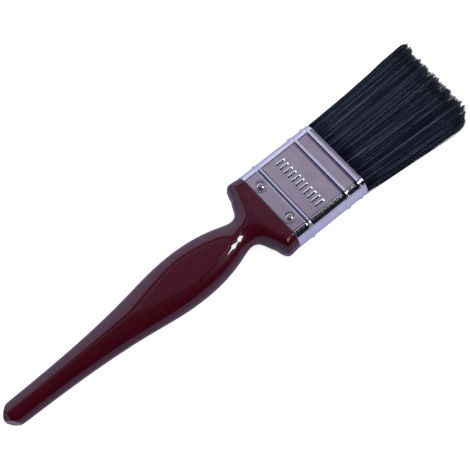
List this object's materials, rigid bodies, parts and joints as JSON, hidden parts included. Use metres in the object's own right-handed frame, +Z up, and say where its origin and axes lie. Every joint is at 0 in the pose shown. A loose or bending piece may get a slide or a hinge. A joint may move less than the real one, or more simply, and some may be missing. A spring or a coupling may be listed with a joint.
{
  "type": "flat paint brush",
  "caption": "Flat paint brush: slim lacquered wooden handle with a gabled tail, beaded steel ferrule and a flared bundle of dark synthetic filaments that flexes at the ferrule mouth.",
  "frame": {"origin": "middle of the length and width, on the plane that the lying brush rests on", "axes": "+X along the brush towards the filament tips, +Y across its width, +Z up out of the front face"},
  "size_m": [0.2222, 0.0448, 0.0137],
  "materials": {
    "lacquered_wood": "gloss",
    "nickel_steel": "polished",
    "nail_steel": "gloss",
    "plain_wood": "matte",
    "epoxy_resin": "gloss",
    "filament": "satin"
  },
  "bodies": {
    "brush": {"handle": "lacquered_wood", "ferrule": "nickel_steel", "nail_front_left": "nail_steel", "nail_front_right": "nail_steel", "nail_back_left": "nail_steel", "nail_back_right": "nail_steel", "spacer_plug": "plain_wood", "epoxy_setting": "epoxy_resin", "filament_root_front": "filament", "filament_root_back": "filament"},
    "free_filaments": {"filaments_front": "filament", "filaments_back": "filament"}
  },
  "joints": [
    {"name": "bristle_flex", "type": "hinge", "parent": "brush", "child": "free_filaments", "pos_m": [0.0572, 0, 0.00685], "axis": [0, 1, 0], "range_deg": [-30, 30], "stiffness_Nm_per_rad": 0.3}
  ]
}
